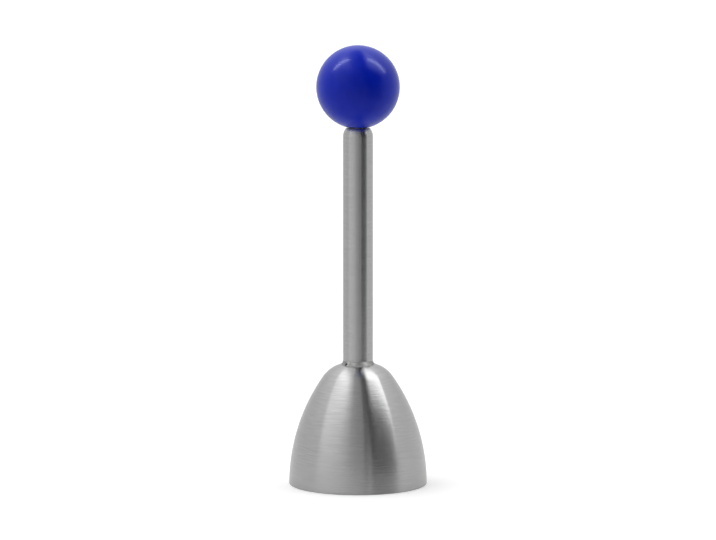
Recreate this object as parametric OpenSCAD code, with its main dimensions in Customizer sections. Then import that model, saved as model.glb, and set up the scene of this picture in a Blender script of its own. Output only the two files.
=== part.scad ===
// Spring-loaded egg topper, standing on the rim of its bell.
// The ball is pulled up against a spring inside the tube and let go: the hammer on the pull rod
// drops on the anvil plug, and the shock runs through the bell and cracks the shell under its rim.
// Every piece is turned round the Z axis, and z = 0 is the plane of the rim.

/* [Bell] */
// Outer diameter of the bell at its rim
rim_d = 41.6; // [38:0.2:46]
// Height from the rim plane to the top of the crown's arc
bell_h = 36.7; // [34:0.1:40]
// Radius of the bell's flank, seen from the side
flank_r = 57; // [52:1:70]
// Radius that turns the flank over into the crown
crown_r = 9.5; // [7:0.5:11]
// Thickness of the bell's wall
bell_wall = 1; // [0.7:0.1:1.4]
// Rounding on both edges of the rim
rim_round = 0.3; // [0.1:0.05:0.35]

/* [Handle tube] */
// Outer diameter of the tube
tube_d = 9; // [8.4:0.1:10]
// Thickness of the tube's wall
tube_wall = 0.8; // [0.6:0.05:1]
// Height of the tube's neck above the rim plane
neck_z = 107.7; // [100:0.1:120]
// Outer diameter of the swaged neck at its top
neck_d = 7.2; // [6.8:0.1:7.8]
// Radius of the swaged shoulder, seen from the side
swage_r = 4.3; // [3.8:0.1:6]
// Length of tube left below the bell's inner surface
tube_tail = 2.2; // [1:0.1:4]

/* [Weld] */
// Height of the weld fillet up the tube, over the crown
weld_h = 1.2; // [0.6:0.1:2]
// Width of the weld fillet out over the crown
weld_w = 1.4; // [0.6:0.1:1.8]
// Blunt edge of the fillet where it runs out
weld_toe = 0.08; // [0.05:0.01:0.15]

/* [Ball knob] */
// Diameter of the ball
ball_d = 25; // [20:0.5:32]
// Diameter of the flat on the underside of the ball
ball_flat_d = 7.1; // [6.6:0.1:8]
// Gap between the ball's flat and the neck, so that the hammer lands first
ball_gap = 0.25; // [0.1:0.05:0.6]

/* [Threaded insert] */
// Diameter of the insert over its knurl
insert_d = 6.2; // [5.8:0.1:6.5]
// Length of rod screwed into the insert
rod_grip = 9.5; // [7:0.5:12]
// Closed end of the insert above the rod
insert_end = 1.5; // [1:0.1:3]
// Depth of the knurl's grooves
knurl_depth = 0.3; // [0.2:0.05:0.4]
// Number of grooves round the knurl
knurl_n = 20; // [14:1:28]
// Length of the plain collar at the mouth of the insert
collar_l = 1.2; // [0.8:0.1:2]
// Width of the groove between the two knurled bands
groove_w = 1.4; // [1:0.1:2]

/* [Pull rod] */
// Diameter of the pull rod
rod_d = 4; // [3.6:0.1:4.2]
// Chamfer on both ends of the rod
rod_chamfer = 0.4; // [0.2:0.1:0.6]

/* [Hammer] */
// Length of the hammer
hammer_l = 16; // [12:0.5:20]
// Solid length below the rod's blind hole
hammer_face = 4; // [3:0.5:6]
// Chamfer on both ends of the hammer
hammer_chamfer = 0.5; // [0.2:0.1:0.8]
// Depth of the three flats that let air past the hammer
air_flat = 0.35; // [0.2:0.05:0.5]
// Diameter of the cross pin that locks the hammer to the rod
pin_d = 1.5; // [1:0.1:1.8]
// Height of the cross pin above the hammer's strike face
pin_h = 9.5; // [8:0.5:11]

/* [Spring] */
// Diameter of the spring's wire
wire_d = 0.8; // [0.6:0.05:0.85]
// Number of working coils
coils = 25; // [18:1:28]
// Pitch of the single closed coil at each end
closed_pitch = 1.3; // [1.25:0.05:1.6]

/* [Anvil plug] */
// Length of the plug inside the tube
plug_l = 6; // [4:0.5:9]
// Thickness of the plug's head below the tube
plug_head_t = 1.5; // [1:0.1:2.5]
// Chamfer on the plug's edges
plug_chamfer = 0.4; // [0.2:0.1:0.6]

/* [Guide bush and washers] */
// Wall of the bush's sleeve in the neck
bush_wall = 0.67; // [0.5:0.01:0.8]
// Thickness of the bush's flange below the shoulder
bush_flange_t = 1.2; // [0.8:0.1:2]
// How far the sleeve stays below the top of the neck
bush_recess = 0.2; // [0.1:0.05:0.5]
// Thickness of the two spring washers
washer_t = 0.6; // [0.4:0.1:1]

/* [Fits] */
// Radial clearance of the hammer, the spring washers and the plug's chamfered nose in the tube
slide_gap = 0.1; // [0.05:0.01:0.15]
// Radial clearance of the rod in the bush
rod_gap = 0.08; // [0.04:0.01:0.1]
// Radial clearance of the washers on the rod
washer_gap = 0.25; // [0.15:0.05:0.4]
// Radial clearance between the spring and the tube's bore
spring_gap = 0.3; // [0.2:0.05:0.4]
// Clearance of pieces that are pressed, screwed, welded or seated together
seat_gap = 0.02; // [0.01:0.01:0.05]
// Clearance of the spring's ground ends from its washers
spring_seat_gap = 0.05; // [0.03:0.01:0.1]

/* [Hidden] */

steel = "silver";
brass = "goldenrod";

round_fn = 96;      // facets round the axis in OpenSCAD's own preview
flank_steps = 20;
crown_steps = 14;
corner_steps = 4;
swage_steps = 8;
weld_steps = 8;
wire_sides = 8;
turn_steps = 16;    // rings of the spring in one turn
cut = 50;           // larger than any piece that it cuts

// Bell: the flank's arc stands upright on the rim plane, and the crown's arc is tangent to it
rim_r = rim_d / 2;
flank_x = rim_r - flank_r;
crown_z = bell_h - crown_r;
crown_x = flank_x + sqrt(pow(flank_r - crown_r, 2) - pow(crown_z, 2));
tangent_a = atan2(crown_z, crown_x - flank_x);

// Tube
tube_r = tube_d / 2;
bore_r = tube_r - tube_wall;
neck_r = neck_d / 2;
hole_r = tube_r + seat_gap;
swage_x = tube_r - swage_r;
swage_a = acos((neck_r - swage_x) / swage_r);
swage_z = neck_z - swage_r * sin(swage_a);
swage_bore_r = swage_r - tube_wall;
tube_z = crown_height(hole_r, bell_wall) - tube_tail;

// Guide bush, rod and washers
rod_r = rod_d / 2;
bush_bore_r = rod_r + rod_gap;
sleeve_r = bush_bore_r + bush_wall;
neck_bore_r = sleeve_r + seat_gap;
bush_z = swage_z - bush_flange_t;
washer_r = bore_r - slide_gap;
washer_hole_r = rod_r + washer_gap;
upper_washer_z = bush_z - washer_t;

// Anvil plug and hammer, from the strike face up
anvil_z = tube_z + plug_l;
hammer_r = bore_r - slide_gap;
hammer_top_z = anvil_z + hammer_l;
rod_z = anvil_z + hammer_face;
rod_hole_r = rod_r + seat_gap;
pin_z = anvil_z + pin_h;
pin_l = 2 * (hammer_r - air_flat);
pin_hole_r = pin_d / 2 + seat_gap;

// Ball, insert and the top of the rod
ball_r = ball_d / 2;
flat_z = neck_z + ball_gap;
ball_z = flat_z + sqrt(pow(ball_r, 2) - pow(ball_flat_d / 2, 2));
insert_r = insert_d / 2;
insert_root_r = insert_r - knurl_depth;
insert_l = rod_grip + insert_end;
groove_z = collar_l + (insert_l - collar_l - groove_w) / 2;
rod_top_z = flat_z + rod_grip;

// Spring, between the two washers
wire_r = wire_d / 2;
coil_r = bore_r - spring_gap - wire_r;
spring_z0 = hammer_top_z + washer_t + spring_seat_gap;
spring_z1 = upper_washer_z - spring_seat_gap;
spring_l = spring_z1 - spring_z0;
working_pitch = (spring_l - 2 * closed_pitch) / coils;
spring_turns = coils + 2;

// Points along an arc, with both ends
function arc(x, y, r, from, to, steps) =
    [for (i = [0:steps]) let (a = from + (to - from) * i / steps) [x + r * cos(a), y + r * sin(a)]];

// Angle on the crown's arc at a distance r from the axis, at a depth inside the bell's outer surface
function crown_angle(r, depth) = acos((r - crown_x) / (crown_r - depth));
function crown_height(r, depth) = crown_z + (crown_r - depth) * sin(crown_angle(r, depth));

// One side of the bell's wall, from the rim's rounding up to the hole for the tube
function bell_side(depth) = concat(
    arc(flank_x, 0, flank_r - depth, asin(rim_round / (flank_r - depth)), tangent_a, flank_steps),
    arc(crown_x, crown_z, crown_r - depth, tangent_a, crown_angle(hole_r, depth), crown_steps)
);
function reversed(points) = [for (i = [len(points) - 1:-1:0]) points[i]];

module turned(points) {
    rotate_extrude($fn = round_fn) polygon(points);
}

// A plain turned piece with a chamfer on each end
module turned_bar(r, z0, z1, bottom_chamfer, top_chamfer) {
    turned([
        [0, z0],
        [r - bottom_chamfer, z0],
        [r, z0 + bottom_chamfer],
        [r, z1 - top_chamfer],
        [r - top_chamfer, z1],
        [0, z1],
    ]);
}

// A hole on the axis, or a round cutter
module bore(r, z0, z1) {
    translate([0, 0, z0]) cylinder(r = r, h = z1 - z0, $fn = round_fn);
}

// Drawn bell with an even wall, rounded at the rim and pierced at the crown
module bell() {
    inner_r = rim_r - bell_wall;
    color(steel)
    turned(concat(
        arc(rim_r - rim_round, rim_round, rim_round, -90, 0, corner_steps),
        bell_side(0),
        reversed(bell_side(bell_wall)),
        arc(inner_r + rim_round, rim_round, rim_round, 180, 270, corner_steps)
    ));
}

// Tube with its top end swaged in to a neck that holds the guide bush
module handle_tube() {
    bore_a = acos((neck_bore_r - swage_x) / swage_bore_r);
    color(steel)
    turned(concat(
        [[bore_r, tube_z], [tube_r, tube_z]],
        arc(swage_x, swage_z, swage_r, 0, swage_a, swage_steps),
        [[neck_bore_r, neck_z]],
        reversed(arc(swage_x, swage_z, swage_bore_r, 0, bore_a, swage_steps))
    ));
}

// Hollow fillet of weld metal between the tube and the crown. It lies on the crown all the way out,
// and its surface is a quarter of an ellipse above it.
module weld_fillet() {
    in_r = tube_r + seat_gap;
    foot_r = tube_r + weld_w;
    side_r = foot_r - in_r;
    color("gainsboro")
    turned(concat(
        [for (i = [0:weld_steps])
            let (r = in_r + side_r * i / weld_steps)
            [r, crown_height(r, 0) + seat_gap]],
        [for (i = [0:weld_steps])
            let (a = 90 * i / weld_steps, r = foot_r - side_r * sin(a))
            [r, crown_height(r, 0) + seat_gap + weld_h - (weld_h - weld_toe) * cos(a)]]
    ));
}

// Plug that closes the foot of the tube: its top is the face that the hammer strikes
module anvil_plug() {
    plug_r = bore_r - seat_gap;
    head_z = tube_z - plug_head_t;
    color(steel)
    turned([
        [0, head_z],
        [tube_r - plug_chamfer, head_z],
        [tube_r, head_z + plug_chamfer],
        [tube_r, tube_z],
        [plug_r, tube_z],
        [plug_r, anvil_z - plug_chamfer],
        [plug_r - plug_chamfer, anvil_z],
        [0, anvil_z],
    ]);
}

// Flanged bush: its shoulder follows the swaged end of the tube, and its sleeve guides the rod
module guide_bush() {
    seat_r = swage_bore_r - seat_gap;
    sleeve_a = acos((sleeve_r - swage_x) / seat_r);
    color("ivory")
    turned(concat(
        [[bush_bore_r, bush_z], [bore_r - seat_gap, bush_z]],
        arc(swage_x, swage_z, seat_r, 0, sleeve_a, swage_steps),
        [[sleeve_r, neck_z - bush_recess], [bush_bore_r, neck_z - bush_recess]]
    ));
}

// Flat washer under one end of the spring
module spring_washer(z) {
    color("gainsboro")
    difference() {
        bore(washer_r, z, z + washer_t);
        bore(washer_hole_r, z - 1, z + washer_t + 1);
    }
}

// Height of the spring's centreline after a number of turns: a closed coil, the working coils,
// and a closed coil again
function coil_height(turn) =
    turn < 1 ? spring_z0 + closed_pitch * turn
    : turn > spring_turns - 1 ? spring_z1 - closed_pitch * (spring_turns - turn)
    : spring_z0 + closed_pitch + working_pitch * (turn - 1);

// One ring of the wire, held between the two ground end faces
function wire_ring(turn) = [for (s = [0:wire_sides - 1]) let (
    a = 360 * turn,
    b = 360 * (s + 0.5) / wire_sides,
    r = coil_r + wire_r * cos(b),
    z = coil_height(turn) + wire_r * sin(b)
) [r * cos(a), r * sin(a), min(max(z, spring_z0), spring_z1)]];

// Least gap between one turn of the wire and the next, measured on the centreline's points
function coil_centre(i) = let (t = i / turn_steps) [coil_r * cos(360 * t), coil_r * sin(360 * t), coil_height(t)];
function least_coil_gap() = min([
    for (i = [0:turn_steps * (spring_turns - 1)])
        for (j = [-2:2])
            if (i + turn_steps + j <= turn_steps * spring_turns)
                norm(coil_centre(i + turn_steps + j) - coil_centre(i))
]) - wire_d;

// Compression spring with closed and ground ends, one unbroken wire
module spring() {
    rings = turn_steps * spring_turns + 1;
    points = [for (i = [0:rings - 1]) each wire_ring(i / turn_steps)];
    last = (rings - 1) * wire_sides;
    sides = [for (i = [0:rings - 2], s = [0:wire_sides - 1]) let (
        a = i * wire_sides + s,
        b = i * wire_sides + (s + 1) % wire_sides
    ) each [[a, b, b + wire_sides], [a, b + wire_sides, a + wire_sides]]];
    first_cap = [for (s = [1:wire_sides - 2]) [0, s + 1, s]];
    last_cap = [for (s = [1:wire_sides - 2]) let (h = wire_sides / 2)
        [last + h, last + (h + s) % wire_sides, last + (h + s + 1) % wire_sides]];
    color("lightgray") polyhedron(points, concat(sides, first_cap, last_cap));
}

// Hammer: a steel slug with a blind hole for the rod, a cross hole and three air flats
module hammer() {
    color(steel)
    difference() {
        turned_bar(hammer_r, anvil_z, hammer_top_z, hammer_chamfer, hammer_chamfer);
        bore(rod_hole_r, rod_z - seat_gap, hammer_top_z + 1);
        translate([0, 0, pin_z]) rotate([0, 90, 0])
            cylinder(r = pin_hole_r, h = cut, center = true, $fn = round_fn);
        for (i = [0:2])
            rotate([0, 0, 120 * i + 60])
                translate([hammer_r - air_flat, -cut / 2, anvil_z - 1]) cube([cut, cut, hammer_l + 2]);
    }
}

// Cross pin through the hammer and the rod
module hammer_pin() {
    color("dimgray")
    translate([0, 0, pin_z]) rotate([0, 90, 0])
        cylinder(r = pin_d / 2, h = pin_l, center = true, $fn = round_fn);
}

// Rod that joins the ball to the hammer
module pull_rod() {
    color(steel)
    difference() {
        turned_bar(rod_r, rod_z, rod_top_z, rod_chamfer, rod_chamfer);
        translate([0, 0, pin_z]) rotate([0, 90, 0])
            cylinder(r = pin_hole_r, h = cut, center = true, $fn = round_fn);
    }
}

// Outside of the insert, from its mouth up: a collar and two knurled bands with a groove between
// them. The ball is moulded round the same shape.
module insert_outside() {
    knurl_z = [collar_l, groove_z + groove_w];
    knurl_l = [groove_z - collar_l, insert_l - groove_z - groove_w];
    translate([0, 0, flat_z]) {
        cylinder(r = insert_r, h = collar_l, $fn = round_fn);
        cylinder(r = insert_root_r - knurl_depth, h = insert_l, $fn = round_fn);
        for (i = [0, 1])
            translate([0, 0, knurl_z[i]]) linear_extrude(knurl_l[i]) polygon(knurl_outline());
    }
}
function knurl_outline() = [for (i = [0:2 * knurl_n - 1]) let (
    a = 180 * i / knurl_n,
    r = i % 2 == 0 ? insert_r : insert_root_r
) [r * cos(a), r * sin(a)]];

// Brass insert that the rod screws into
module threaded_insert() {
    color(brass)
    difference() {
        insert_outside();
        bore(rod_hole_r, flat_z - 1, rod_top_z + seat_gap);
    }
}

// Moulded ball, flat underneath
module ball_knob() {
    color("mediumblue")
    difference() {
        translate([0, 0, ball_z]) sphere(r = ball_r, $fn = round_fn);
        bore(ball_r, flat_z - ball_r, flat_z);
        insert_outside();
    }
}

echo(least_coil_gap = least_coil_gap());
echo(travel_until_spring_is_solid = spring_l - spring_turns * wire_d);
echo(strike_face_z = anvil_z, spring_fixed_end_z = spring_z1, plug_foot_z = tube_z - plug_head_t);

bell();
handle_tube();
weld_fillet();
anvil_plug();
guide_bush();
spring_washer(upper_washer_z);  // upper_spring_washer
spring();
spring_washer(hammer_top_z);  // lower_spring_washer
hammer();
hammer_pin();
pull_rod();
threaded_insert();
ball_knob();
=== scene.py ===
import bpy
from math import acos, asin, atan2, cos, exp, pi, radians, sin, sqrt
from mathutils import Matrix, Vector


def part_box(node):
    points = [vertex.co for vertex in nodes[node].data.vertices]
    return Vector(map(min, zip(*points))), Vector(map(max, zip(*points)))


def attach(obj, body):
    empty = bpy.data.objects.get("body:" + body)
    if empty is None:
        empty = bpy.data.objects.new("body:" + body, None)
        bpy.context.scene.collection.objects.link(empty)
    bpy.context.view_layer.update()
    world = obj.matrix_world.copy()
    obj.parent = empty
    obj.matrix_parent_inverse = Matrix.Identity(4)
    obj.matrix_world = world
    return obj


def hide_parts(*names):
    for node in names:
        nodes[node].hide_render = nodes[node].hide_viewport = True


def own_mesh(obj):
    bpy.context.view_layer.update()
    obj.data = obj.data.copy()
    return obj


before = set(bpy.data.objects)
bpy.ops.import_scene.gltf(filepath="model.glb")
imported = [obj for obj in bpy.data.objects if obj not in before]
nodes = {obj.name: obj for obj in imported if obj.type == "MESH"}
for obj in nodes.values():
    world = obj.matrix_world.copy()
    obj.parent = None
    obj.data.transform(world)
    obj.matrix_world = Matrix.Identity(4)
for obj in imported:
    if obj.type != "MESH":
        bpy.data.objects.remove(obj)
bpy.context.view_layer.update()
mm = 0.001
mergeWithin = 0.0005 * mm       # a point nearer than this to another, or to a cut, lies on it
print("frame loaded,", len(nodes), "nodes")

bodyFixed = "handle"      # bell, tube and what is fixed in them
bodyMoving = "plunger"    # ball, rod and hammer

# places that the frame gives
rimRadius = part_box("bell")[1].x
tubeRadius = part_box("handle_tube")[1].x
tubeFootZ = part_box("handle_tube")[0].z
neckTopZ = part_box("handle_tube")[1].z
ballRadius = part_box("ball_knob")[1].x
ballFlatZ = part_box("ball_knob")[0].z
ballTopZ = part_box("ball_knob")[1].z
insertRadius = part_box("threaded_insert")[1].x
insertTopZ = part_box("threaded_insert")[1].z
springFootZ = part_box("spring")[0].z
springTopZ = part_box("spring")[1].z
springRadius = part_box("spring")[1].x


def startFresh():
    # an operator acts on all that is selected, so nothing is
    if bpy.context.object and bpy.context.object.mode != "OBJECT":
        bpy.ops.object.mode_set(mode="OBJECT")
    bpy.ops.object.select_all(action="DESELECT")


def pick(piece):
    startFresh()
    piece.select_set(True)
    bpy.context.view_layer.objects.active = piece


def settle(piece):
    # the place goes into the mesh, so that the object sits at the origin
    pick(piece)
    bpy.ops.object.transform_apply(location=True, rotation=True, scale=True)


def smooth(piece, sharpFrom):
    pick(piece)
    bpy.ops.object.shade_smooth_by_angle(angle=radians(sharpFrom))


def applyAll(piece):
    pick(piece)
    for modifier in list(piece.modifiers):
        bpy.ops.object.modifier_apply(modifier=modifier.name)


def dress(piece, material):
    piece.data.materials.clear()
    piece.data.materials.append(material)


def arcPoints(centreR, centreZ, radius, start, end, steps):
    turns = [start + (end - start) * i / steps for i in range(steps + 1)]
    return [(centreR + radius * cos(turn), centreZ + radius * sin(turn)) for turn in turns]


def turnOnLathe(name, outline, sides):
    # a circle is drawn up along a closed outline of (radius, height) points, ring after ring
    startFresh()
    radius, height = outline[0]
    bpy.ops.mesh.primitive_circle_add(vertices=sides, radius=radius, location=(0, 0, height))
    piece = bpy.context.object
    piece.name = piece.data.name = name
    settle(piece)
    bpy.ops.object.mode_set(mode="EDIT")
    bpy.ops.mesh.select_all(action="SELECT")
    for nextRadius, nextHeight in outline[1:] + outline[:1]:
        bpy.ops.mesh.extrude_region_move(
            TRANSFORM_OT_translate={"value": (0, 0, nextHeight - height)})
        grow = nextRadius / radius
        bpy.ops.transform.resize(value=(grow, grow, 1), center_override=(0, 0, nextHeight))
        radius, height = nextRadius, nextHeight
    bpy.ops.mesh.select_all(action="SELECT")
    bpy.ops.mesh.remove_doubles(threshold=mergeWithin)
    bpy.ops.mesh.normals_make_consistent(inside=False)
    bpy.ops.object.mode_set(mode="OBJECT")
    return piece


# the bell is one spun sheet: a long flank arc that runs into a tight crown arc
bell = {
    "height": 36.7 * mm,
    "flankRadius": 57 * mm,
    "crownRadius": 9.5 * mm,
    "wall": 1 * mm,
    "edgeRound": 0.3 * mm,
    "holeGap": 0.02 * mm,       # between the crown's hole and the tube
    "sides": 192,
    "flankSteps": 54,
    "crownSteps": 30,
    "edgeSteps": 6,
    "sharpFrom": 40,            # degrees between two faces, past which their edge looks sharp
}
flankR = rimRadius - bell["flankRadius"]
crownZ = bell["height"] - bell["crownRadius"]
crownR = flankR + sqrt((bell["flankRadius"] - bell["crownRadius"]) ** 2 - crownZ ** 2)
joinAngle = atan2(crownZ, crownR - flankR)


def crownHeight(radius):
    # height of the bell's outer face over the table, where the weld lies on it
    return crownZ + bell["crownRadius"] * sin(acos((radius - crownR) / bell["crownRadius"]))


def bellSide(depth):
    # the sheet's face at a depth below the outer one, from the rim up to the hole
    flank = bell["flankRadius"] - depth
    crown = bell["crownRadius"] - depth
    rimAngle = asin(bell["edgeRound"] / flank)
    holeAngle = acos((tubeRadius + bell["holeGap"] - crownR) / crown)
    return (arcPoints(flankR, 0, flank, rimAngle, joinAngle, bell["flankSteps"])
            + arcPoints(crownR, crownZ, crown, joinAngle, holeAngle, bell["crownSteps"])[1:])


edge = bell["edgeRound"]
innerRim = rimRadius - bell["wall"]
bellOutline = (arcPoints(rimRadius - edge, edge, edge, -pi / 2, 0, bell["edgeSteps"])[:-1]
               + bellSide(0)
               + bellSide(bell["wall"])[::-1]
               + arcPoints(innerRim + edge, edge, edge, pi, 1.5 * pi, bell["edgeSteps"])[1:])
bellPiece = turnOnLathe("bell_shell", bellOutline, bell["sides"])
smooth(bellPiece, bell["sharpFrom"])
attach(bellPiece, bodyFixed)
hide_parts("bell")
print("bell turned,", len(bellPiece.data.polygons), "faces")


# the tube's upper end is swaged in to a neck that guides the rod
tube = {
    "wall": 0.8 * mm,
    "neckRadius": 3.6 * mm,
    "neckBore": 2.77 * mm,
    "swageRadius": 4.3 * mm,
    "lipRound": 0.12 * mm,
    "lipCut": 0.3,              # share of the rounding that its middle point lies inside the corner
    "footBevel": 0.1 * mm,
    "markAngle": 20,            # degrees up the shoulder, where the forming die left its line
    "markDepth": 0.02 * mm,
    "markWidth": 1.2,           # degrees
    "sides": 160,
    "shoulderSteps": 60,
    "boreSteps": 24,
    "sharpFrom": 35,
}
swageR = tubeRadius - tube["swageRadius"]
swageEnd = acos((tube["neckRadius"] - swageR) / tube["swageRadius"])
swageZ = neckTopZ - tube["swageRadius"] * sin(swageEnd)


def shoulder(steps):
    points = []
    for i in range(steps + 1):
        turn = swageEnd * i / steps
        away = (turn - radians(tube["markAngle"])) / radians(tube["markWidth"])
        radius = tube["swageRadius"] - tube["markDepth"] * exp(-away * away)
        points.append((swageR + radius * cos(turn), swageZ + radius * sin(turn)))
    return points


innerSwage = tube["swageRadius"] - tube["wall"]
innerEnd = acos((tube["neckBore"] - swageR) / innerSwage)
foot = tube["footBevel"]
lip = tube["lipRound"]
lipCut = tube["lipCut"] * lip
tubeOutline = ([(tubeRadius - foot, tubeFootZ), (tubeRadius, tubeFootZ + foot)]
               + shoulder(tube["shoulderSteps"])[:-2]       # the lip takes the place of the last two
               + [(tube["neckRadius"] - lipCut, neckTopZ - lipCut)]
               + [(tube["neckRadius"] - lip, neckTopZ)]
               + [(tube["neckBore"] + lip, neckTopZ), (tube["neckBore"], neckTopZ - lip)]
               + arcPoints(swageR, swageZ, innerSwage, innerEnd, 0, tube["boreSteps"])
               + [(tubeRadius - tube["wall"], tubeFootZ)])
tubePiece = turnOnLathe("handle_tube_shell", tubeOutline, tube["sides"])
smooth(tubePiece, tube["sharpFrom"])
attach(tubePiece, bodyFixed)
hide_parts("handle_tube")
print("tube turned,", len(tubePiece.data.polygons), "faces")


# a weld bead holds the tube in the bell, and has one blow hole
weld = {
    "height": 1.2 * mm,
    "width": 1.4 * mm,
    "toe": 0.08 * mm,           # thickness of its outer edge
    "gap": 0.02 * mm,
    "fullness": 0.25,           # 0 is a hollow bead, 0.5 a straight one, 1 a round one
    "narrowing": 0.65,          # how much less wide the bead is at the sides than in front
    "lowering": 0.3,            # and how much less high
    "sides": 288,
    "topSteps": 18,
    "footSteps": 6,
    "ripple": 0.11 * mm,        # unevenness left by hand grinding
    "rippleSize": 1.9 * mm,
    "rippleDetail": 2,
    "rippleLevel": 0.6,         # the grey that moves nothing: what is darker sinks
    "rippleFrom": 0.03 * mm,    # over the bead's foot, which stays where it lies on the bell
    "pitTurn": -43,             # degrees, to the left of the front
    "pitOut": 0.55 * mm,        # from the tube's wall
    "pitUp": 0.3 * mm,          # from the bell
    "pitTilt": 0.9,             # how far it faces up for each step out
    "pitRadius": 0.52 * mm,
    "pitDepth": 0.42 * mm,
    "pitLip": 0.15 * mm,        # height of the rim raised round it
    "pitLipReach": 1.7,         # size of that rim, in radii of the pit
    "sharpFrom": 50,
}
seat = tubeRadius + weld["gap"]
reach = weld["width"] - weld["gap"]


def weldSurface(share):
    # share 0 is the bead's outer edge on the bell, and share 1 its upper edge on the tube
    turn = share * pi / 2
    full = weld["fullness"]
    outward = (1 - full) * (1 - sin(turn)) + full * cos(turn)
    upward = (1 - full) * (1 - cos(turn)) + full * sin(turn)
    radius = seat + reach * outward
    rise = weld["toe"] + (weld["height"] - weld["toe"]) * upward
    return radius, crownHeight(radius) + weld["gap"] + rise


weldTop = [weldSurface(i / weld["topSteps"]) for i in range(weld["topSteps"] + 1)]
footRadii = [seat + reach * i / weld["footSteps"] for i in range(weld["footSteps"] + 1)]
weldFoot = [(radius, crownHeight(radius) + weld["gap"]) for radius in footRadii]
weldPiece = turnOnLathe("weld_bead", weldTop + weldFoot, weld["sides"])
for vertex in weldPiece.data.vertices:      # laid by hand, widest in front
    radius = Vector(vertex.co[:2]).length
    rise = vertex.co.z - crownHeight(radius) - weld["gap"]
    aside = 1 - max(0, -vertex.co.y / radius) ** 2
    narrow = seat + (radius - seat) * (1 - weld["narrowing"] * aside)
    vertex.co.x *= narrow / radius
    vertex.co.y *= narrow / radius
    vertex.co.z = crownHeight(narrow) + weld["gap"] + rise * (1 - weld["lowering"] * aside)

skinPoints = [v.index for v in weldPiece.data.vertices
              if v.co.z > crownHeight(Vector(v.co[:2]).length) + weld["gap"] + weld["rippleFrom"]]
weldPiece.vertex_groups.new(name="outside").add(skinPoints, 1, "REPLACE")
clouds = bpy.data.textures.new("grinding marks", "CLOUDS")
clouds.noise_scale = weld["rippleSize"]
clouds.noise_depth = weld["rippleDetail"]
ripple = weldPiece.modifiers.new("ripple", "DISPLACE")
ripple.texture = clouds
ripple.texture_coords = "LOCAL"
ripple.vertex_group = "outside"
ripple.strength = weld["ripple"]
ripple.mid_level = weld["rippleLevel"]
applyAll(weldPiece)


def pressIn(piece, place, push, size):
    # the point nearest to a place is pushed, and takes what is round it along
    nearest = min(piece.data.vertices, key=lambda v: (v.co - place).length).index
    pick(piece)
    for group in (piece.data.vertices, piece.data.edges, piece.data.polygons):
        group.foreach_set("select", [False] * len(group))
    piece.data.vertices[nearest].select = True
    bpy.ops.object.mode_set(mode="EDIT")
    bpy.ops.mesh.select_mode(type="VERT")
    bpy.ops.transform.translate(
        value=push, use_proportional_edit=True, proportional_edit_falloff="SMOOTH", proportional_size=size)
    bpy.ops.object.mode_set(mode="OBJECT")


pitTurn = radians(weld["pitTurn"])
pitFromAxis = tubeRadius + weld["pitOut"]
pitHeight = crownHeight(pitFromAxis) + weld["pitUp"]
pitPlace = Vector((pitFromAxis * sin(pitTurn), -pitFromAxis * cos(pitTurn), pitHeight))
pitFacing = Vector((sin(pitTurn), -cos(pitTurn), weld["pitTilt"])).normalized()
pressIn(weldPiece, pitPlace, pitFacing * weld["pitLip"], weld["pitLipReach"] * weld["pitRadius"])
pressIn(weldPiece, pitPlace, -pitFacing * weld["pitDepth"], weld["pitRadius"])
smooth(weldPiece, weld["sharpFrom"])
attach(weldPiece, bodyFixed)
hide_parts("weld_fillet")
print("weld laid,", len(weldPiece.data.polygons), "faces")


# the ball has a flat below, and a bore in it for the threaded insert
ball = {
    "flatRound": 0.25 * mm,
    "flatRoundSteps": 4,
    "boreGap": 0.02 * mm,
    "segments": 192,
    "rings": 120,
    "edgeWithin": 0.01 * mm,    # how near to the flat's edge a line has to lie to be rounded
    "sharpFrom": 40,
}
ballCentreZ = ballTopZ - ballRadius
flatRadius = sqrt(ballRadius ** 2 - (ballCentreZ - ballFlatZ) ** 2)
startFresh()
bpy.ops.mesh.primitive_uv_sphere_add(
    segments=ball["segments"], ring_count=ball["rings"], radius=ballRadius, location=(0, 0, ballCentreZ))
ballPiece = bpy.context.object
ballPiece.name = ballPiece.data.name = "ball_shell"
settle(ballPiece)
bpy.ops.object.mode_set(mode="EDIT")
bpy.ops.mesh.select_all(action="SELECT")
bpy.ops.mesh.bisect(plane_co=(0, 0, ballFlatZ), plane_no=(0, 0, 1), use_fill=True, clear_inner=True,
                    threshold=mergeWithin)      # its own 0.1 mm takes in the rings beside the cut
bpy.ops.mesh.inset(thickness=flatRadius - insertRadius - ball["boreGap"])
bpy.ops.mesh.extrude_region_move(
    TRANSFORM_OT_translate={"value": (0, 0, insertTopZ + ball["boreGap"] - ballFlatZ)})
bpy.ops.mesh.select_all(action="DESELECT")
bpy.ops.object.mode_set(mode="OBJECT")
for line in ballPiece.data.edges:       # the edge of the flat is broken
    ends = [ballPiece.data.vertices[i].co for i in line.vertices]
    line.select = all(abs(end.z - ballFlatZ) < ball["edgeWithin"] and
                      abs(Vector(end[:2]).length - flatRadius) < ball["edgeWithin"] for end in ends)
bpy.ops.object.mode_set(mode="EDIT")
bpy.ops.mesh.select_mode(type="EDGE")
bpy.ops.mesh.bevel(offset=ball["flatRound"], segments=ball["flatRoundSteps"])
bpy.ops.object.mode_set(mode="OBJECT")
smooth(ballPiece, ball["sharpFrom"])
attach(ballPiece, bodyMoving)
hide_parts("ball_knob")
print("ball moulded,", len(ballPiece.data.polygons), "faces")


# the spring is one wire, with a closed turn at each end
spring = {
    "wire": 0.8 * mm,
    "coils": 25,
    "closedPitch": 1.3 * mm,
    "travel": 25 * mm,
    "stepsPerTurn": 28,
    "wireSteps": 3,             # more of them make the wire rounder
    "sharpFrom": 40,
}
springLength = springTopZ - springFootZ
coilRadius = springRadius - spring["wire"] / 2
workingPitch = (springLength - 2 * spring["closedPitch"]) / spring["coils"]
springTurns = spring["coils"] + 2


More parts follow.
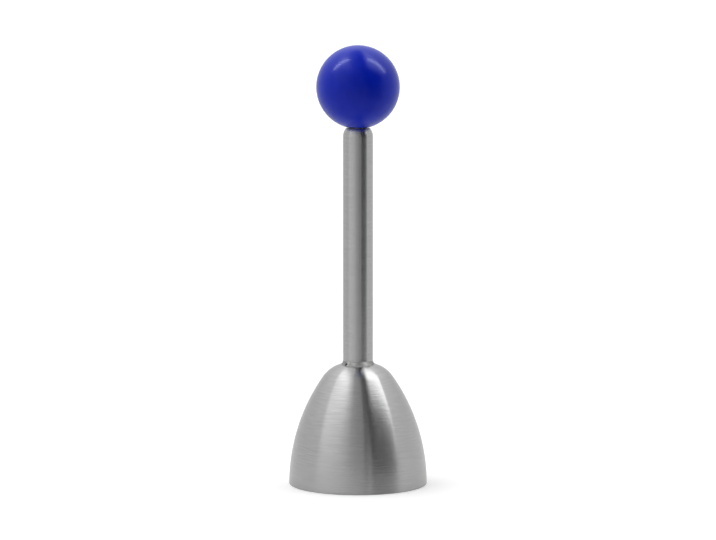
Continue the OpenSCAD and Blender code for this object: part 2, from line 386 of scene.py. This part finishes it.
def coilHeight(turn):
    if turn < 1:
        return springFootZ + spring["closedPitch"] * turn
    if turn > springTurns - 1:
        return springTopZ - spring["closedPitch"] * (springTurns - turn)
    return springFootZ + spring["closedPitch"] + workingPitch * (turn - 1)


wireCurve = bpy.data.curves.new("spring_wire", "CURVE")
wireCurve.dimensions = "3D"
wireCurve.bevel_depth = spring["wire"] / 2
wireCurve.bevel_resolution = spring["wireSteps"]
wireCurve.use_fill_caps = True
wirePath = wireCurve.splines.new("POLY")
wirePath.points.add(springTurns * spring["stepsPerTurn"])
for i, point in enumerate(wirePath.points):
    turn = i / spring["stepsPerTurn"]
    point.co = (coilRadius * cos(2 * pi * turn), coilRadius * sin(2 * pi * turn), coilHeight(turn), 1)
springPiece = bpy.data.objects.new("coil_spring", wireCurve)
bpy.context.scene.collection.objects.link(springPiece)
pick(springPiece)
bpy.ops.object.convert(target="MESH")
springPiece = bpy.context.object
bpy.ops.object.mode_set(mode="EDIT")
bpy.ops.mesh.select_all(action="SELECT")
bpy.ops.mesh.remove_doubles(threshold=mergeWithin)          # the wire's caps come loose from it
for height, up in ((springFootZ, -1), (springTopZ, 1)):     # both ends are ground flat
    bpy.ops.mesh.select_all(action="SELECT")
    bpy.ops.mesh.bisect(plane_co=(0, 0, height), plane_no=(0, 0, up), use_fill=True, clear_outer=True,
                        threshold=mergeWithin)
bpy.ops.object.mode_set(mode="OBJECT")
smooth(springPiece, spring["sharpFrom"])
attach(springPiece, bodyFixed)
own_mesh(springPiece)
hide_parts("spring")
print("spring wound,", len(springPiece.data.polygons), "faces")


def newMaterial(name):
    material = bpy.data.materials.new(name)
    material.use_nodes = True
    tree = material.node_tree
    tree.nodes.clear()
    shader = tree.nodes.new("ShaderNodeBsdfPrincipled")
    out = tree.nodes.new("ShaderNodeOutputMaterial")
    tree.links.new(shader.outputs["BSDF"], out.inputs["Surface"])
    return material, tree, shader


def feed(tree, value, socket):
    # a number or colour is set on the socket, and what comes from another node is linked to it
    if isinstance(value, bpy.types.NodeSocket):
        tree.links.new(value, socket)
    else:
        socket.default_value = value


def worked(tree, operation, first, second):
    node = tree.nodes.new("ShaderNodeMath")
    node.operation = operation
    feed(tree, first, node.inputs[0])
    feed(tree, second, node.inputs[1])
    return node.outputs[0]


def measured(tree, operation, vector, other=(0, 0, 0)):
    # one number from a vector: its LENGTH, its DISTANCE from a place or its DOT_PRODUCT with a direction
    node = tree.nodes.new("ShaderNodeVectorMath")
    node.operation = operation
    tree.links.new(vector, node.inputs[0])
    node.inputs[1].default_value = other
    return node.outputs["Value"]


def mapped(tree, value, fromEnds, toEnds=(0, 1), way="LINEAR"):
    fit = tree.nodes.new("ShaderNodeMapRange")
    fit.interpolation_type = way
    for end, number in zip(("From Min", "From Max", "To Min", "To Max"), (*fromEnds, *toEnds)):
        fit.inputs[end].default_value = number
    tree.links.new(value, fit.inputs["Value"])
    return fit.outputs["Result"]


def blended(tree, share, first, second):
    mix = tree.nodes.new("ShaderNodeMix")
    mix.data_type = "RGBA"
    feed(tree, share, mix.inputs["Factor"])
    feed(tree, first, mix.inputs["A"])
    feed(tree, second, mix.inputs["B"])
    return mix.outputs["Result"]


def onPiece(tree):
    return tree.nodes.new("ShaderNodeTexCoord").outputs["Object"]


noiseEnds = (0.3, 0.7)      # a noise texture seldom leaves this range
evenly = (1, 1, 1)          # a grain that isn't drawn out any way


def grainNoise(tree, stretch, scale, detail):
    mapping = tree.nodes.new("ShaderNodeMapping")
    mapping.inputs["Scale"].default_value = stretch
    noise = tree.nodes.new("ShaderNodeTexNoise")
    noise.inputs["Scale"].default_value = scale
    noise.inputs["Detail"].default_value = detail
    tree.links.new(onPiece(tree), mapping.inputs["Vector"])
    tree.links.new(mapping.outputs["Vector"], noise.inputs["Vector"])
    return noise.outputs["Fac"]


def tinted(tree, grain, look):
    return blended(tree, mapped(tree, grain, noiseEnds), (*look["dark"], 1), (*look["light"], 1))


def coloured(tree, shader, grain, look):
    tree.links.new(tinted(tree, grain, look), shader.inputs["Base Color"])


def roughened(tree, shader, grain, low, high):
    tree.links.new(mapped(tree, grain, noiseEnds, (low, high)), shader.inputs["Roughness"])


def bumped(tree, shader, grain, look):
    bump = tree.nodes.new("ShaderNodeBump")
    bump.inputs["Strength"].default_value = look["bump"]
    bump.inputs["Distance"].default_value = look["bumpDepth"]
    tree.links.new(grain, bump.inputs["Height"])
    tree.links.new(bump.outputs["Normal"], shader.inputs["Normal"])


def brushedSteel(name, look):
    # the brush ran round the piece, so the lines do, and the shine is drawn out across them
    material, tree, shader = newMaterial(name)
    lines = grainNoise(tree, look["lineStretch"], look["lineScale"], look["lineDetail"])
    cloud = grainNoise(tree, evenly, look["cloudScale"], look["cloudDetail"])
    coloured(tree, shader, lines, look)
    roughened(tree, shader, cloud, look["roughLow"], look["roughHigh"])
    bumped(tree, shader, lines, look)
    shader.inputs["Metallic"].default_value = 1
    shader.inputs["Anisotropic"].default_value = look["anisotropy"]
    shader.inputs["Anisotropic Rotation"].default_value = look["anisotropyTurn"]
    tangent = tree.nodes.new("ShaderNodeTangent")
    tangent.direction_type = "RADIAL"
    tangent.axis = "Z"
    tree.links.new(tangent.outputs["Tangent"], shader.inputs["Tangent"])
    return material


brushedLook = {
    "dark": (0.475, 0.475, 0.475), "light": (0.525, 0.525, 0.525),
    "lineStretch": (0.06, 0.06, 1), "lineScale": 3200, "lineDetail": 4,
    "cloudScale": 150, "cloudDetail": 2, "roughLow": 0.21, "roughHigh": 0.235,
    "bump": 0.8, "bumpDepth": 0.035 * mm,
    "anisotropy": 1, "anisotropyTurn": 0.25,
}
dress(bellPiece, brushedSteel("bell steel, brushed", brushedLook))
dress(tubePiece, brushedSteel("tube steel, brushed", brushedLook))


def groundWeld(name, look, pitSize):
    # darker and rougher than the sheet, with a near-black painted shade in and round the pit
    material, tree, shader = newMaterial(name)
    patches = grainNoise(tree, evenly, look["patchScale"], look["patchDetail"])
    scratches = grainNoise(tree, look["scratchStretch"], look["scratchScale"], look["scratchDetail"])
    # painted shade: near black at the pit, fading out to the sheet's colour a little past it
    fromPit = measured(tree, "DISTANCE", onPiece(tree), pitPlace)
    unshaded = mapped(tree, fromPit, (look["pitShadeCore"] * pitSize, pitSize))
    colour = blended(tree, unshaded, (*look["pitShade"], 1), tinted(tree, patches, look))
    tree.links.new(colour, shader.inputs["Base Color"])
    roughened(tree, shader, patches, look["roughHigh"], look["roughLow"])
    bumped(tree, shader, scratches, look)
    shader.inputs["Metallic"].default_value = 1
    return material


weldLook = {
    "dark": (0.27, 0.268, 0.265), "light": (0.42, 0.417, 0.414),
    # the pit's colour is painted shade, near black, out to this many pit radii and full over this share of
    # that
    "pitShade": (0.008, 0.007, 0.006), "pitShadeReach": 1.05, "pitShadeCore": 0.7,
    "patchScale": 700, "patchDetail": 3, "roughLow": 0.42, "roughHigh": 0.6,
    "scratchStretch": (1, 1, 0.3), "scratchScale": 3500, "scratchDetail": 2,
    "bump": 0.35, "bumpDepth": 0.02 * mm,
}
dress(weldPiece, groundWeld("weld, ground by hand", weldLook, weldLook["pitShadeReach"] * weld["pitRadius"]))


def mouldedPlastic(name, look):
    material, tree, shader = newMaterial(name)
    skin = grainNoise(tree, evenly, look["skinScale"], look["skinDetail"])
    coloured(tree, shader, skin, look)
    roughened(tree, shader, skin, look["roughLow"], look["roughHigh"])
    return material, shader


ballLook = {
    "dark": (0.0003, 0.012, 0.42), "light": (0.0004, 0.014, 0.45),
    "skinScale": 400, "skinDetail": 3, "roughLow": 0.21, "roughHigh": 0.23,
    "shine": 0.38, "shineTint": (0.55, 0.6, 1),
    "edgeGlow": 0.12, "edgeTint": (0.15, 0.35, 1),
}
ballPlastic, shader = mouldedPlastic("ball, moulded plastic", ballLook)
shader.inputs["Specular IOR Level"].default_value = ballLook["shine"]
shader.inputs["Specular Tint"].default_value = (*ballLook["shineTint"], 1)
shader.inputs["Sheen Weight"].default_value = ballLook["edgeGlow"]
shader.inputs["Sheen Tint"].default_value = (*ballLook["edgeTint"], 1)
dress(ballPiece, ballPlastic)

bushLook = {
    "dark": (0.7, 0.69, 0.66), "light": (0.76, 0.75, 0.72),
    "skinScale": 900, "skinDetail": 2, "roughLow": 0.42, "roughHigh": 0.5,
}
bushPlastic, shader = mouldedPlastic("guide bush, natural acetal", bushLook)
dress(nodes["guide_bush"], bushPlastic)


def drawnSteel(name, look):
    # the die, the wheel or the bath left fine marks, drawn out the way that stretch says
    material, tree, shader = newMaterial(name)
    marks = grainNoise(tree, look["stretch"], look["scale"], look["detail"])
    coloured(tree, shader, marks, look)
    roughened(tree, shader, marks, look["roughLow"], look["roughHigh"])
    bumped(tree, shader, marks, look)
    shader.inputs["Metallic"].default_value = 1
    return material


wireLook = {
    "dark": (0.33, 0.325, 0.315), "light": (0.42, 0.415, 0.405), "roughLow": 0.2, "roughHigh": 0.32,
    "stretch": evenly, "scale": 1500, "detail": 3, "bump": 0.05, "bumpDepth": 0.01 * mm,
}
rodLook = {
    "dark": (0.5, 0.495, 0.485), "light": (0.58, 0.575, 0.565), "roughLow": 0.16, "roughHigh": 0.24,
    "stretch": (1, 1, 0.02), "scale": 3000, "detail": 3, "bump": 0.05, "bumpDepth": 0.01 * mm,
}
pinLook = {
    "dark": (0.4, 0.395, 0.39), "light": (0.48, 0.475, 0.47), "roughLow": 0.18, "roughHigh": 0.26,
    "stretch": (0.05, 1, 1), "scale": 3000, "detail": 3, "bump": 0.04, "bumpDepth": 0.01 * mm,
}
washerLook = {
    "dark": (0.42, 0.42, 0.43), "light": (0.52, 0.52, 0.53), "roughLow": 0.3, "roughHigh": 0.42,
    "stretch": evenly, "scale": 1200, "detail": 3, "bump": 0.08, "bumpDepth": 0.01 * mm,
}
dress(springPiece, drawnSteel("spring wire", wireLook))
dress(nodes["pull_rod"], drawnSteel("rod, drawn bright", rodLook))
dress(nodes["hammer_pin"], drawnSteel("pin, ground", pinLook))
washerSteel = drawnSteel("washer, zinc plated", washerLook)
dress(nodes["upper_spring_washer"], washerSteel)
dress(nodes["lower_spring_washer"], washerSteel)


def turnedMetal(name, look):
    # the lathe's rings, close together round the axis and up the side
    material, tree, shader = newMaterial(name)
    place = onPiece(tree)
    height = tree.nodes.new("ShaderNodeSeparateXYZ")
    tree.links.new(place, height.inputs["Vector"])
    flat = tree.nodes.new("ShaderNodeVectorMath")
    flat.operation = "MULTIPLY"
    flat.inputs[1].default_value = (1, 1, 0)
    tree.links.new(place, flat.inputs[0])
    fromAxis = measured(tree, "LENGTH", flat.outputs["Vector"])
    noise = tree.nodes.new("ShaderNodeTexNoise")
    noise.noise_dimensions = "1D"
    noise.inputs["Scale"].default_value = look["ringScale"]
    noise.inputs["Detail"].default_value = look["ringDetail"]
    tree.links.new(worked(tree, "ADD", fromAxis, height.outputs["Z"]), noise.inputs["W"])
    rings = noise.outputs["Fac"]
    coloured(tree, shader, rings, look)
    roughened(tree, shader, rings, look["roughLow"], look["roughHigh"])
    bumped(tree, shader, rings, look)
    shader.inputs["Metallic"].default_value = 1
    return material


turnedLook = {
    "dark": (0.43, 0.425, 0.42), "light": (0.52, 0.515, 0.51), "roughLow": 0.22, "roughHigh": 0.34,
    "ringScale": 6000, "ringDetail": 3, "bump": 0.25, "bumpDepth": 0.01 * mm,
}
brassLook = {
    "dark": (0.56, 0.38, 0.14), "light": (0.66, 0.46, 0.18), "roughLow": 0.2, "roughHigh": 0.32,
    "ringScale": 6000, "ringDetail": 3, "bump": 0.2, "bumpDepth": 0.01 * mm,
}
turnedSteel = turnedMetal("turned steel", turnedLook)
dress(nodes["anvil_plug"], turnedSteel)
dress(nodes["hammer"], turnedSteel)
dress(nodes["threaded_insert"], turnedMetal("brass, turned", brassLook))
print("finishes made")


# the camera stands at the photograph's height and distance
view = {
    "pitch": 6.95,              # degrees down
    "distance": 1154 * mm,
    "aimZ": 64.9 * mm,
    "focalPixels": 3843,
    "imageWidth": 716,
    "sensorWidth": 36,
    "nearest": 10 * mm,
    "farthest": 20000 * mm,
}
camera = bpy.data.cameras.new("camera")
camera.sensor_width = view["sensorWidth"]
camera.lens = view["focalPixels"] * view["sensorWidth"] / view["imageWidth"]
camera.clip_start = view["nearest"]
camera.clip_end = view["farthest"]
cameraObject = bpy.data.objects.new("camera", camera)
pitch = radians(view["pitch"])
cameraObject.location = (0, -view["distance"] * cos(pitch), view["aimZ"] + view["distance"] * sin(pitch))
cameraObject.rotation_euler = (pi / 2 - pitch, 0, 0)
bpy.context.scene.collection.objects.link(cameraObject)
bpy.context.scene.camera = cameraObject
print("camera placed")


def softened(tree, value, ends):
    return mapped(tree, value, ends, way="SMOOTHSTEP")


def climbed(tree, up, angles):
    # 0 below the first angle over the table, in degrees, and 1 above the second
    return softened(tree, up, [sin(radians(angle)) for angle in angles])


def halved(tree, value):
    # -1 to 1 becomes 0 to 1
    return worked(tree, "ADD", worked(tree, "MULTIPLY", value, 0.5), 0.5)


def rising(tree, up, brightness):
    more = worked(tree, "MULTIPLY", worked(tree, "MULTIPLY", up, up), brightness[1])
    return worked(tree, "ADD", more, brightness[0])


def greyRamp(tree, share, stops, low, high):
    # brightness at places from low to high, which the share crosses from 0 to 1
    ramp = tree.nodes.new("ShaderNodeValToRGB")
    marks = ramp.color_ramp.elements
    for i, (place, grey) in enumerate(stops):
        place = (place - low) / (high - low)
        mark = marks[i] if i < 2 else marks.new(place)
        mark.position = place
        mark.color = (grey, grey, grey, 1)
    tree.links.new(share, ramp.inputs["Fac"])
    return ramp.outputs["Color"]


def eitherShader(tree, share, first, second):
    choose = tree.nodes.new("ShaderNodeMixShader")
    tree.links.new(share, choose.inputs["Fac"])
    tree.links.new(first, choose.inputs[1])
    tree.links.new(second, choose.inputs[2])
    return choose.outputs[0]


# the part stands in a white tent that is open, and so darker, where the camera stands
tent = {
    # (degrees to the right of the camera's side, brightness) round the tent's wall, and round its slope
    "wall": [(-180, 0.72), (-100, 0.68), (-81, 0.65), (-75, 0.75), (-60, 0.75), (-46, 0.7), (-30, 0.63),
             (-20, 0.57), (-12, 0.47), (0, 0.38), (8, 0.37), (11.5, 0.21), (15, 0.2), (19, 0.4), (22.5, 0.34),
             (27, 0.08), (48, 0.045), (58, 0.11), (66, 0.23), (73, 0.5), (80, 0.72), (180, 0.72)],
    "slope": [(-180, 1.2), (-110, 1.2), (-80, 1.2), (-62, 1.08), (-40, 0.88), (-28, 0.69), (-14, 0.48),
              (0, 0.38), (12, 0.36), (180, 0.75)],
    "slopeFrom": (6, 24),       # degrees up, where the wall turns into the slope
    # (part of the direction to the right, brightness) across the tent's top
    "top": [(-1, 1.8), (-0.6, 2.1), (-0.42, 2.05), (-0.28, 1.2), (-0.14, 0.56), (0, 0.45), (1, 0.45)],
    "topFrom": (42, 58),
    # a straight edge is the direction at right angles to it, seen from the part
    "leftEdge": (-0.42, 0.72, -0.55),       # outer edge of the long light panel on the left
    "leftEnd": (-0.02, 0.03),
    "beyondLeft": (0.67, 0.8),  # brightness past it, at the table and how much more overhead
    # right of the camera hangs a dark cloth, and past its slanted edge stands a long light panel
    "clothFrom": (12, 14.5),    # degrees to the right
    "cloth": [(-180, 0.14), (16, 0.14), (20.5, 0.23), (25, 0.04), (180, 0.04)],
    "clothGlow": 0.1,           # overhead
    "innerEdge": (0.01, 0.87, 0.574),
    # (distance past the inner edge, brightness)
    "panel": [(-1, 0.01), (-0.28, 0.01), (-0.17, 0.01), (-0.08, 0.04), (0.02, 0.2), (0.11, 0.8), (0.2, 1.95),
              (0.29, 2.6), (1, 2.3)],
    "sideEdge": (1, 0.3, 0),    # the panel ends here, short of the tent's top
    "sideEnd": (0.16, 0.34),
    "outerEdge": (0.431, 0.755, -0.493),
    "outerEnd": (0, 0.04),
    "beyondPanel": (0.65, 0.8),
    # matt surfaces catch this share of the tent's light, and more of it from the left, behind and overhead
    "mattShare": 0.42,
    "mattFrom": (-0.5, 0.6, 0.5),
}
world = bpy.data.worlds.new("studio")
bpy.context.scene.world = world
world.use_nodes = True
tree = world.node_tree
tree.nodes.clear()
direction = tree.nodes.new("ShaderNodeTexCoord").outputs["Generated"]
split = tree.nodes.new("ShaderNodeSeparateXYZ")
tree.links.new(direction, split.inputs["Vector"])
toRight, toBack, up = split.outputs["X"], split.outputs["Y"], split.outputs["Z"]
azimuth = worked(tree, "ARCTAN2", toRight, worked(tree, "MULTIPLY", toBack, -1))
turnShare = worked(tree, "ADD", worked(tree, "DIVIDE", azimuth, 2 * pi), 0.5)


def past(edgeName, endName):
    return softened(tree, measured(tree, "DOT_PRODUCT", direction, tent[edgeName]), tent[endName])


# left of the cloth
slope = greyRamp(tree, turnShare, tent["slope"], -180, 180)
top = greyRamp(tree, halved(tree, toRight), tent["top"], -1, 1)
leftUpper = blended(tree, climbed(tree, up, tent["topFrom"]), slope, top)
leftUpper = blended(tree, past("leftEdge", "leftEnd"), leftUpper, rising(tree, up, tent["beyondLeft"]))

# the cloth, and what is right of it
pastInner = measured(tree, "DOT_PRODUCT", direction, tent["innerEdge"])
panel = greyRamp(tree, halved(tree, pastInner), tent["panel"], -1, 1)
panel = worked(tree, "MULTIPLY", panel, past("sideEdge", "sideEnd"))
cloth = greyRamp(tree, turnShare, tent["cloth"], -180, 180)
rightUpper = worked(tree, "MAXIMUM", panel, worked(tree, "MULTIPLY", up, tent["clothGlow"]))
rightUpper = worked(tree, "MAXIMUM", rightUpper, cloth)
rightUpper = blended(tree, past("outerEdge", "outerEnd"), rightUpper, rising(tree, up, tent["beyondPanel"]))

# both over the wall, which runs all round
wall = greyRamp(tree, turnShare, tent["wall"], -180, 180)
clothFrom = [radians(angle) for angle in tent["clothFrom"]]
upper = blended(tree, softened(tree, azimuth, clothFrom), leftUpper, rightUpper)
tentLight = tree.nodes.new("ShaderNodeBackground")
tree.links.new(blended(tree, climbed(tree, up, tent["slopeFrom"]), wall, upper), tentLight.inputs["Color"])

rays = tree.nodes.new("ShaderNodeLightPath")
matt = worked(tree, "ADD", measured(tree, "DOT_PRODUCT", direction, tent["mattFrom"]), tent["mattShare"])
matt = worked(tree, "SUBTRACT", worked(tree, "MAXIMUM", matt, 0), 1)
strength = worked(tree, "ADD", worked(tree, "MULTIPLY", matt, rays.outputs["Is Diffuse Ray"]), 1)
tree.links.new(strength, tentLight.inputs["Strength"])
white = tree.nodes.new("ShaderNodeBackground")      # the camera sees plain white instead
white.inputs["Color"].default_value = (1, 1, 1, 1)
sky = eitherShader(tree, rays.outputs["Is Camera Ray"], tentLight.outputs[0], white.outputs[0])
worldOut = tree.nodes.new("ShaderNodeOutputWorld")
tree.links.new(sky, worldOut.inputs["Surface"])

# two long lamps make the streaks on the ball, and light nothing else; degrees and metres
lamps = {
    "left light": {"azimuth": -91, "elevation": 54, "distance": 0.6, "size": (0.07, 0.4), "glow": 10},
    "right light": {"azimuth": 95, "elevation": 50, "distance": 0.6, "size": (0.07, 0.46), "glow": 9},
}
lampAim = Vector((0, 0, 120 * mm))
lit = bpy.data.collections.new("lit by the lamps")
lit.objects.link(ballPiece)
for name, lamp in lamps.items():
    light = bpy.data.lights.new(name, "AREA")
    light.shape = "RECTANGLE"
    light.size, light.size_y = lamp["size"]
    light.energy = lamp["glow"] * pi * light.size * light.size_y
    lampObject = bpy.data.objects.new(name, light)
    lampObject.light_linking.receiver_collection = lit
    across, upAngle = radians(lamp["azimuth"]), radians(lamp["elevation"])
    outward = Vector((cos(upAngle) * sin(across), -cos(upAngle) * cos(across), sin(upAngle)))
    lampObject.location = lampAim + outward * lamp["distance"]
    lampObject.rotation_euler = (-outward).to_track_quat("-Z", "Y").to_euler()
    bpy.context.scene.collection.objects.link(lampObject)
print("tent hung,", len(lamps), "lamps set")


# the floor is a sheet of white paper
paper = {
    "size": 6,                  # metres
    "white": 0.9,               # how much of its light it sends back
    "rough": 0.9,
    "glow": 0.34,               # what the camera sees more of it, so that it is pure white but for the shadow
    "fade": (100 * mm, 320 * mm),       # the steel sees it fade out between these distances
    "inSteel": 0.66,            # and sees it this strong
}


def whitePaper(name, look):
    material, tree, shader = newMaterial(name)
    shader.inputs["Base Color"].default_value = (look["white"], look["white"], look["white"], 1)
    shader.inputs["Roughness"].default_value = look["rough"]
    shader.inputs["Specular IOR Level"].default_value = 0
    rays = tree.nodes.new("ShaderNodeLightPath")
    glow = tree.nodes.new("ShaderNodeEmission")
    tree.links.new(worked(tree, "MULTIPLY", rays.outputs["Is Camera Ray"], look["glow"]),
                   glow.inputs["Strength"])
    seen = tree.nodes.new("ShaderNodeAddShader")
    tree.links.new(shader.outputs[0], seen.inputs[0])
    tree.links.new(glow.outputs[0], seen.inputs[1])
    unseen = tree.nodes.new("ShaderNodeBsdfTransparent")
    faded = softened(tree, measured(tree, "LENGTH", onPiece(tree)), look["fade"])
    faded = worked(tree, "MAXIMUM", faded, 1 - look["inSteel"])
    faded = worked(tree, "MULTIPLY", rays.outputs["Is Glossy Ray"], faded)
    surface = next(node for node in tree.nodes if node.type == "OUTPUT_MATERIAL").inputs["Surface"]
    tree.links.new(eitherShader(tree, faded, seen.outputs[0], unseen.outputs[0]), surface)
    return material


startFresh()
bpy.ops.mesh.primitive_plane_add(size=paper["size"], location=(0, 0, 0))
floor = bpy.context.object
floor.name = floor.data.name = "floor"
dress(floor, whitePaper("floor, white paper", paper))
print("floor laid")

bpy.context.scene.view_settings.view_transform = "Standard"
